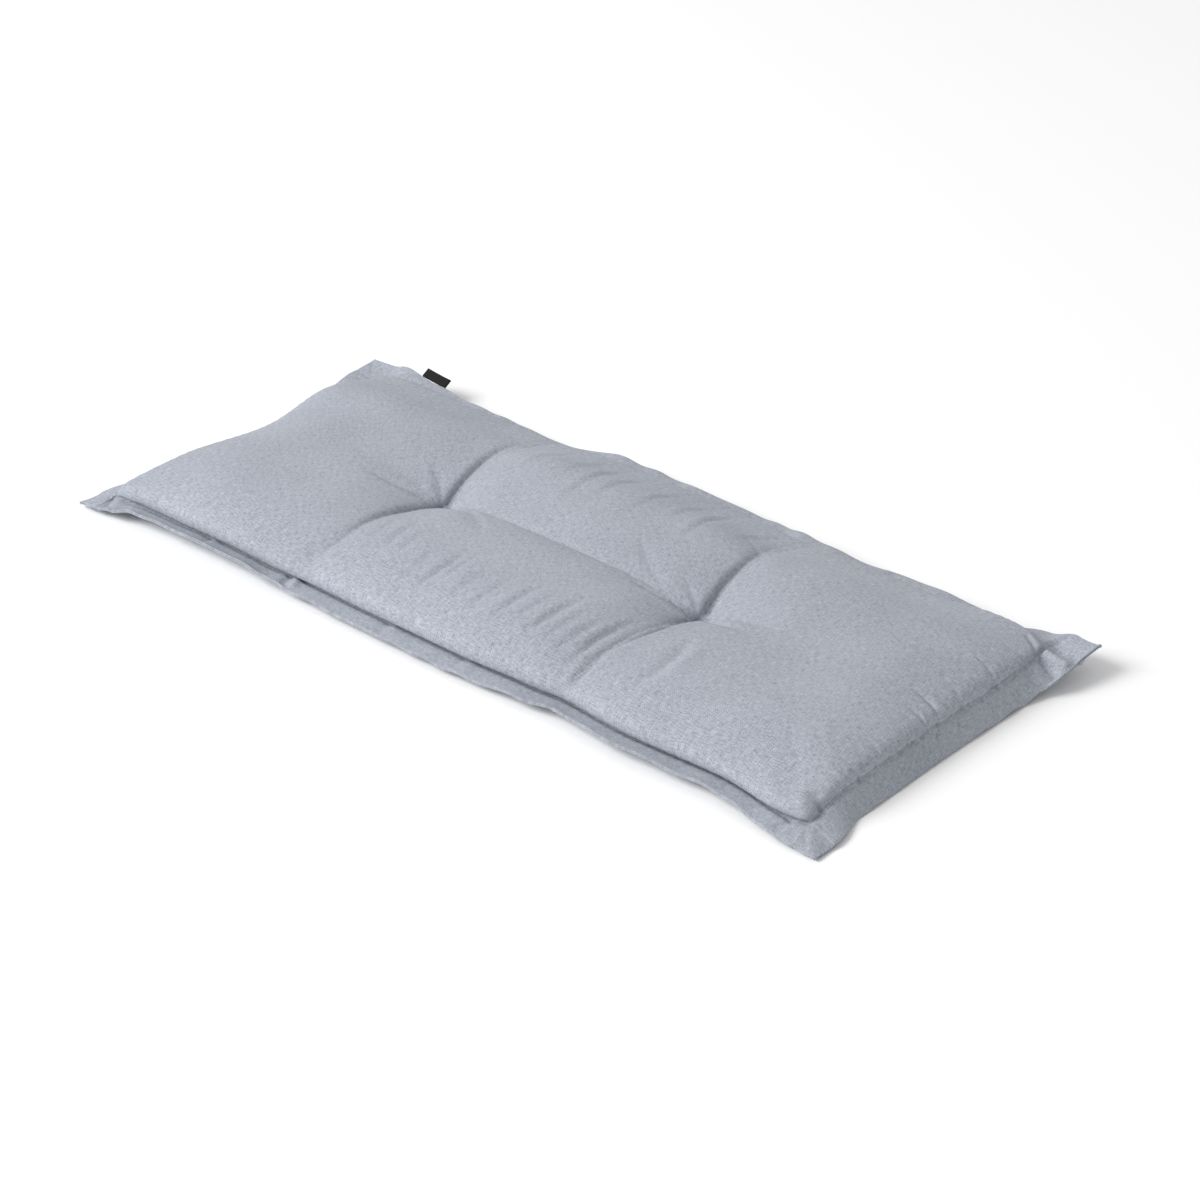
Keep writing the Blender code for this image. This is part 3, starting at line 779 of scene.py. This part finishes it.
# %% Lay the folds on
def lay_folds(cloth):
    """Move the cover's points along their outward direction."""
    s, t = marks_of(cloth, "s"), marks_of(cloth, "t")
    out_s, out_t = marks_of(cloth, "out_s"), marks_of(cloth, "out_t")
    face = np.sign(marks_of(cloth, "face"))
    u, v = s + np.sign(s) * out_s, t + np.sign(t) * out_t
    out = np.hypot(out_s, out_t)
    pad = (out < 0.0001) & (face > 0)
    off, place, side = beside_seam(s, t, out_s, out_t)

    lift = np.zeros_like(s)
    for fold in TUFT_FOLDS + MIDDLE_WRINKLES + END_FOLDS:
        lift = lift + np.where(pad, fold_depth(s, t, fold), 0.0)
    lift = lift - SEAM_DEEP * np.exp(-(off / SEAM_WIDE) ** 2)
    fade = (off / 0.004) / (1 + off / 0.004) * np.exp(-off / PUCKER_REACH)
    pucker = PUCKER_HIGH * uneven(place, PUCKER_PITCH, side) * fade
    bend = np.zeros_like(s)
    for fold in BORDER_FOLDS:
        bend = bend + fold_depth(u, v, fold)
    off_edge = smooth((BORDER - np.maximum(out_s, out_t)) / EDGE_KEEP)
    bend = (bend * smooth(out / EDGE_KEEP) + pucker) * off_edge
    lift = lift + np.where(out > 0.0001, bend * face, pucker)
    points = points_of(cloth) + normals_of(cloth) * lift[:, None]
    wave = EDGE_WAVE * uneven(place, EDGE_WAVE_PITCH, side + 0.7)
    points[:, 2] += wave * smooth(np.minimum(out / BORDER, 1.0))
    front = (t < 0) & (out_s < 0.0001)
    across = np.where(out_t > 0, out_t, -(HALF_CROSS - np.abs(t)))
    sink = along(FRONT_GAP, s, GAP_DEPTH) * np.exp(-((across - GAP_OUT) / GAP_WIDE) ** 2)
    points[:, 2] -= np.where(front & ((face > 0) | (out_t > 0)), sink, 0.0)
    points[:, 2] = np.maximum(points[:, 2], 0.0)
    move_points(cloth, points)
    print("folds between", round(lift.min() * 1000, 1), "and", round(lift.max() * 1000, 1), "mm")


lay_folds(cover)
take(cover)
bpy.ops.object.shade_smooth()

# %% [markdown]
# ## The stitches
#
# The border is closed off from the pad by one line of machine stitches, about 3.6 mm each,
# pulled down into the cloth on both faces.  One stitch is a small stretched ball of
# thread, repeated along the sewn line of the finished cover.

# %% One stitch, repeated along the line
STITCH = 0.0036
STITCH_HALF = 0.0016
THREAD_HALF = 0.00036
SIDES_OF_LINE = (("s", 1), ("s", -1), ("t", 1), ("t", -1))


def sewn_places(cloth, across, sign, face):
    """Even places along one side of the stitched line, with the cloth's outward direction."""
    half, place = (HALF_LONG, "t") if across == "s" else (HALF_CROSS, "s")
    beyond = np.maximum(marks_of(cloth, "out_s"), marks_of(cloth, "out_t"))
    on_line = np.abs(marks_of(cloth, across) - sign * half) < 0.00005
    on_line &= (beyond < 0.00005) & (marks_of(cloth, "face") * face > 0.5)
    index = np.flatnonzero(on_line)
    index = index[np.argsort(marks_of(cloth, place)[index])]
    spots, ways = points_of(cloth)[index], normals_of(cloth)[index]
    travel = np.concatenate([[0.0], np.cumsum(np.linalg.norm(np.diff(spots, axis=0), axis=1))])
    steps = np.arange(STITCH / 2, travel[-1], STITCH)
    laid = np.stack([np.interp(steps, travel, spots[:, k]) for k in range(3)], axis=1)
    facing = np.stack([np.interp(steps, travel, ways[:, k]) for k in range(3)], axis=1)
    ahead = np.gradient(laid, axis=0)
    return laid, facing, ahead / np.linalg.norm(ahead, axis=1)[:, None]


# %% Repeat the stitch on both faces
bpy.ops.object.select_all(action="DESELECT")
bpy.ops.mesh.primitive_uv_sphere_add(segments=6, ring_count=4, radius=1.0)
stitch = bpy.context.object
shape = points_of(stitch)
stitch_faces = [tuple(face.vertices) for face in stitch.data.polygons]
bpy.data.objects.remove(stitch)

thread_points, thread_faces = [], []
for across, sign in SIDES_OF_LINE:
    for face in (1, -1):
        laid, facing, ahead = sewn_places(cover, across, sign, face)
        beside = np.cross(ahead, facing)
        for spot, out, run, cross in zip(laid, facing, ahead, beside):
            first = len(thread_points) * len(shape)
            ball = spot + out * THREAD_HALF * 0.6
            ball = ball + shape[:, [2]] * STITCH_HALF * run
            ball = ball + (shape[:, [0]] * cross + shape[:, [1]] * out) * THREAD_HALF
            ball[:, 2] = np.maximum(ball[:, 2], 0.0)
            thread_points.append(ball)
            thread_faces += [tuple(first + v for v in loop) for loop in stitch_faces]
thread_mesh = bpy.data.meshes.new("seam_thread")
thread_mesh.from_pydata(np.concatenate(thread_points).tolist(), [], thread_faces)
stitches = bpy.data.objects.new("seam_thread", thread_mesh)
bpy.context.scene.collection.objects.link(stitches)
take(stitches)
bpy.ops.object.mode_set(mode="EDIT")
bpy.ops.mesh.select_all(action="SELECT")
bpy.ops.mesh.normals_make_consistent(inside=False)
bpy.ops.object.mode_set(mode="OBJECT")
bpy.ops.object.shade_smooth()
print(len(thread_points), "stitches")

# %% [markdown]
# ## The label
#
# A short length of black woven tape is folded over and caught in the edge seam, so only
# its loop stands out.  The tape is a strip of grid, bent along the loop and given its
# thickness.  It is left bare.

# %% The tape's sizes, and where it is caught
LABEL_PLACE = -0.439
LABEL_WIDE = 0.039
LABEL_PROUD = 0.013
LABEL_LOOP = 0.0024
LABEL_SLOPE = math.radians(30)
LABEL_OFF = 0.0012
TAPE_THICK = 0.0006
TAPE_SAG = 0.0007
LOOP_ROWS = 30
WIDE_ROWS = 24


def edge_spot(cloth, place):
    """Where the border's free edge lies at one place along the back."""
    off = np.abs(marks_of(cloth, "s") - place) + np.abs(marks_of(cloth, "out_t") - BORDER)
    off = off + np.where(marks_of(cloth, "t") > 0, 0.0, 1.0) + marks_of(cloth, "out_s")
    return points_of(cloth)[np.argsort(off)[:6]].mean(axis=0)


# %% Fold the tape
arc = (LABEL_LOOP - TAPE_THICK) / 2
straight = LABEL_PROUD - arc - TAPE_THICK / 2
tape_length = 2 * straight + math.pi * arc
bpy.ops.object.select_all(action="DESELECT")
bpy.ops.mesh.primitive_grid_add(x_subdivisions=WIDE_ROWS, y_subdivisions=LOOP_ROWS, size=2)
label = bpy.context.object
label.name = "folded_label"
flat_tape = points_of(label)
wide, run = flat_tape[:, 0] / 2 + 0.5, (flat_tape[:, 1] / 2 + 0.5) * tape_length
turn = np.clip((run - straight) / arc, 0, math.pi)
back = np.where(run > straight + math.pi * arc, tape_length - run, straight)
level = np.where(run < straight, run, back)
reach = level + arc * np.sin(turn)
rise = arc * np.cos(turn) - TAPE_SAG * np.sin(math.pi * wide) * reach / LABEL_PROUD
left_end = edge_spot(cover, LABEL_PLACE - LABEL_WIDE / 2)
right_end = edge_spot(cover, LABEL_PLACE + LABEL_WIDE / 2)
hem = left_end + (right_end - left_end) * wide[:, None]
out_way = np.array([0.0, math.cos(LABEL_SLOPE), math.sin(LABEL_SLOPE)])
up_way = np.array([0.0, -math.sin(LABEL_SLOPE), math.cos(LABEL_SLOPE)])
move_points(label, hem + out_way * (LABEL_OFF + reach)[:, None] + up_way * rise[:, None])
for name, values in (("wide", wide * LABEL_WIDE), ("run", run)):
    mark_points(label, name, values)
tape = label.modifiers.new("tape", "SOLIDIFY")
tape.thickness = TAPE_THICK
tape.offset = 0.0
take(label)
bpy.ops.object.modifier_apply(modifier="tape")
bpy.ops.object.mode_set(mode="EDIT")
bpy.ops.mesh.select_all(action="SELECT")
bpy.ops.mesh.normals_make_consistent(inside=False)
bpy.ops.object.mode_set(mode="OBJECT")
bpy.ops.object.shade_smooth()
print("label tape", round(tape_length * 1000, 1), "mm long, from", left_end, "to", right_end)

# %% [markdown]
# ## Laying the cloth's own pattern
#
# The weave has to run with the threads over every puff, so the cover gets a UV map in
# metres of flat cloth, read straight from the marks on its points.

# %% Lay the pattern
def lay_pattern(cloth):
    """A UV map that gives each point its place on the flat cloth, in metres."""
    u = marks_of(cloth, "s") + np.sign(marks_of(cloth, "s")) * marks_of(cloth, "out_s")
    v = marks_of(cloth, "t") + np.sign(marks_of(cloth, "t")) * marks_of(cloth, "out_t")
    corner = np.empty(len(cloth.data.loops), dtype=int)
    cloth.data.loops.foreach_get("vertex_index", corner)
    while cloth.data.uv_layers:
        cloth.data.uv_layers.remove(cloth.data.uv_layers[0])
    layer = cloth.data.uv_layers.new(name="cloth")
    layer.data.foreach_set("uv", np.stack([u[corner], v[corner]], axis=1).ravel())


lay_pattern(cover)

# %% [markdown]
# ## Materials
#
# The cover is a heathered, solution-dyed plain weave: light and dark grey-blue yarns are
# spun together, so the cloth looks even from far off and streaky close by.

# %% Colours and nodes
def srgb(code):
    """A hex colour as linear values."""
    parts = [int(code[i:i + 2], 16) / 255 for i in (1, 3, 5)]
    return (*[p / 12.92 if p <= 0.04045 else ((p + 0.055) / 1.055) ** 2.4 for p in parts], 1.0)


def add_node(tree, kind, settings=None, links=None):
    """Add a node, set its options and values, and link sockets into it."""
    node = tree.nodes.new(kind)
    for name, value in (settings or {}).items():
        if isinstance(name, str) and hasattr(node, name):
            setattr(node, name, value)
        else:
            node.inputs[name].default_value = value
    for name, socket in (links or {}).items():
        tree.links.new(socket, node.inputs[name])
    return node


def new_material(name):
    """An empty material with its output, and its node tree."""
    made = bpy.data.materials.new(name)
    made.use_nodes = True
    made.node_tree.nodes.clear()
    return made, made.node_tree


def show(tree, shader):
    """Let a shader be the material's surface."""
    add_node(tree, "ShaderNodeOutputMaterial", links={"Surface": shader.outputs[0]})


def reckon(tree, operation, number, links):
    """One step of arithmetic inside a material."""
    settings = {"operation": operation}
    if number is not None:
        settings[1] = number
    return add_node(tree, "ShaderNodeMath", settings, links).outputs[0]


def sine_of(tree, place, pitch):
    """A wave along one direction of the cloth, with one crest per pitch."""
    turn = reckon(tree, "MULTIPLY", 2 * math.pi / pitch, {0: place})
    return reckon(tree, "SINE", None, {0: turn})


# %% The woven cloth
THREAD = 0.0012                         # drawn coarser than the real 0.6 mm, so the weave shows
SLUB_LONG = 0.0075                      # thicker stretches of yarn
SLUB_WIDE = 0.0011


def woven_cloth():
    """Heathered plain weave: short crossed streaks and a dry, slightly hairy surface."""
    made, tree = new_material("heathered woven cloth")
    place = add_node(tree, "ShaderNodeUVMap", {"uv_map": "cloth"}).outputs["UV"]
    streaks = []
    for wide, start in (((SLUB_LONG, SLUB_WIDE), 3.0), ((SLUB_WIDE, SLUB_LONG), 7.0)):
        spread = add_node(tree, "ShaderNodeMapping", {
            "Scale": (1 / wide[0], 1 / wide[1], 1), "Location": (start, start, 0),
        }, {"Vector": place})
        streaks.append(add_node(tree, "ShaderNodeTexNoise", {
            "noise_dimensions": "2D", "Scale": 1.0, "Detail": 3.0, "Roughness": 0.65,
        }, {"Vector": spread.outputs[0]}).outputs["Fac"])
    split = add_node(tree, "ShaderNodeSeparateXYZ", links={0: place})
    waves = [sine_of(tree, split.outputs[axis], 2 * THREAD) for axis in (0, 1)]
    weave = reckon(tree, "MULTIPLY", None, {0: waves[0], 1: waves[1]})
    over = add_node(tree, "ShaderNodeMapRange", {
        "From Min": -0.5, "From Max": 0.5,
    }, {"Value": weave}).outputs[0]
    yarn = add_node(tree, "ShaderNodeMix", {
        "data_type": "FLOAT",
    }, {0: over, 2: streaks[0], 3: streaks[1]}).outputs[0]
    cloud = add_node(tree, "ShaderNodeTexNoise", {
        "noise_dimensions": "2D", "Scale": 9.0, "Detail": 3.0, "Roughness": 0.55,
    }, {"Vector": place}).outputs["Fac"]
    shade = reckon(tree, "MULTIPLY_ADD", 0.12, {0: cloud, 2: yarn})
    tint = add_node(tree, "ShaderNodeValToRGB", links={0: shade})
    ramp = tint.color_ramp
    ramp.elements[0].position, ramp.elements[0].color = 0.36, srgb("#7e838c")
    ramp.elements[1].position, ramp.elements[1].color = 0.78, srgb("#bdc2cc")
    height = reckon(tree, "MULTIPLY_ADD", 0.30, {0: weave, 2: yarn})
    bump = add_node(tree, "ShaderNodeBump", {
        "Strength": 0.50, "Distance": 0.0005,
    }, {"Height": height})
    shader = add_node(tree, "ShaderNodeBsdfPrincipled", {
        "Roughness": 0.86, "IOR": 1.46, "Specular IOR Level": 0.25,
        "Sheen Weight": 0.14, "Sheen Roughness": 0.45, "Sheen Tint": srgb("#e4e6ec"),
    }, {"Base Color": tint.outputs[0], "Normal": bump.outputs[0]})
    show(tree, shader)
    return made


# %% The sewing thread and the label's tape
RIB = 0.0009                            # the tape's weft, drawn coarser than its real 0.4 mm


def spun_thread():
    """Spun polyester thread, dyed to match: slightly brighter than the cloth it lies on."""
    made, tree = new_material("spun polyester thread")
    place = add_node(tree, "ShaderNodeTexCoord").outputs["Object"]
    fibres = add_node(tree, "ShaderNodeTexNoise", {
        "Scale": 1500.0, "Detail": 2.0,
    }, {"Vector": place}).outputs["Fac"]
    tint = add_node(tree, "ShaderNodeValToRGB", links={0: fibres})
    tint.color_ramp.elements[0].color = srgb("#7f858f")
    tint.color_ramp.elements[1].color = srgb("#a9aeb8")
    shader = add_node(tree, "ShaderNodeBsdfPrincipled", {
        "Roughness": 0.60, "IOR": 1.54, "Specular IOR Level": 0.4, "Sheen Weight": 0.10,
    }, {"Base Color": tint.outputs[0]})
    show(tree, shader)
    return made


def label_tape():
    """Black woven polyester tape with fine ribs across it, whose crests carry a thin, broken painted
    gleam.
    """
    made, tree = new_material("black woven tape")
    run = add_node(tree, "ShaderNodeAttribute", {"attribute_name": "run"}).outputs["Fac"]
    wide = add_node(tree, "ShaderNodeAttribute", {"attribute_name": "wide"}).outputs["Fac"]
    across, along_it = sine_of(tree, run, RIB), sine_of(tree, wide, RIB)
    ribs = reckon(tree, "MULTIPLY_ADD", 0.35, {0: along_it, 2: across})
    # the rib crests are painted lighter than the black between them: a painted gleam on the tape
    painted_gleam = add_node(tree, "ShaderNodeMapRange", {
        "From Min": -1.35, "From Max": 1.35,
    }, {"Value": ribs}).outputs[0]
    tint = add_node(tree, "ShaderNodeValToRGB", links={0: painted_gleam})
    tint.color_ramp.elements[0].color = srgb("#060607")
    tint.color_ramp.elements[1].color = srgb("#141518")
    bump = add_node(tree, "ShaderNodeBump", {
        "Strength": 0.6, "Distance": 0.0002,
    }, {"Height": ribs})
    shader = add_node(tree, "ShaderNodeBsdfPrincipled", {
        "Roughness": 0.60, "IOR": 1.54, "Specular IOR Level": 0.2, "Sheen Weight": 0.02,
    }, {"Base Color": tint.outputs[0], "Normal": bump.outputs[0]})
    show(tree, shader)
    return made


# %% Give the stitches and the label their materials
stitches.data.materials.append(spun_thread())
label.data.materials.clear()
label.data.materials.append(label_tape())
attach(stitches, "root")
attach(label, "root")
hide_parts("label")

# %% Give the cover its cloth
cover.data.materials.clear()
cover.data.materials.append(woven_cloth())
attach(cover, "root")
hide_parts("cushion")
for piece in (cover, stitches, label):
    print(piece.name, "is", piece.data.materials[0].name)

# %% [markdown]
# ## The floor and the light
#
# A plain pale floor and a big soft light from the left front, with an even white sky to
# fill the shadows, as in a small studio.

# %% Floor
bpy.ops.object.select_all(action="DESELECT")
bpy.ops.mesh.primitive_plane_add(size=30)
floor = bpy.context.object
floor.name = "floor"
paper, paper_tree = new_material("matt studio paper")
paper_shader = add_node(paper_tree, "ShaderNodeBsdfPrincipled", {
    "Base Color": srgb("#fbfbfb"), "Roughness": 0.95,
})
show(paper_tree, paper_shader)
floor.data.materials.append(paper)

# %% Lights
SKY = 0.59
KEY_FROM = Vector((-0.48, -0.62, 0.62))
KEY_AWAY = 9.0
KEY_SIZE = 4.7
KEY_POWER = 753

sky = bpy.data.worlds.new("even white sky")
sky.use_nodes = True
sky.node_tree.nodes["Background"].inputs["Color"].default_value = srgb("#ffffff")
sky.node_tree.nodes["Background"].inputs["Strength"].default_value = SKY
bpy.context.scene.world = sky
key = bpy.data.lights.new("key", "AREA")
key.shape = "SQUARE"
key.size = KEY_SIZE
key.energy = KEY_POWER
key_lamp = bpy.data.objects.new("key", key)
key_lamp.location = KEY_FROM.normalized() * KEY_AWAY
key_lamp.rotation_euler = (-KEY_FROM).to_track_quat("-Z", "Y").to_euler()
bpy.context.scene.collection.objects.link(key_lamp)
bpy.context.scene.view_settings.view_transform = "Standard"
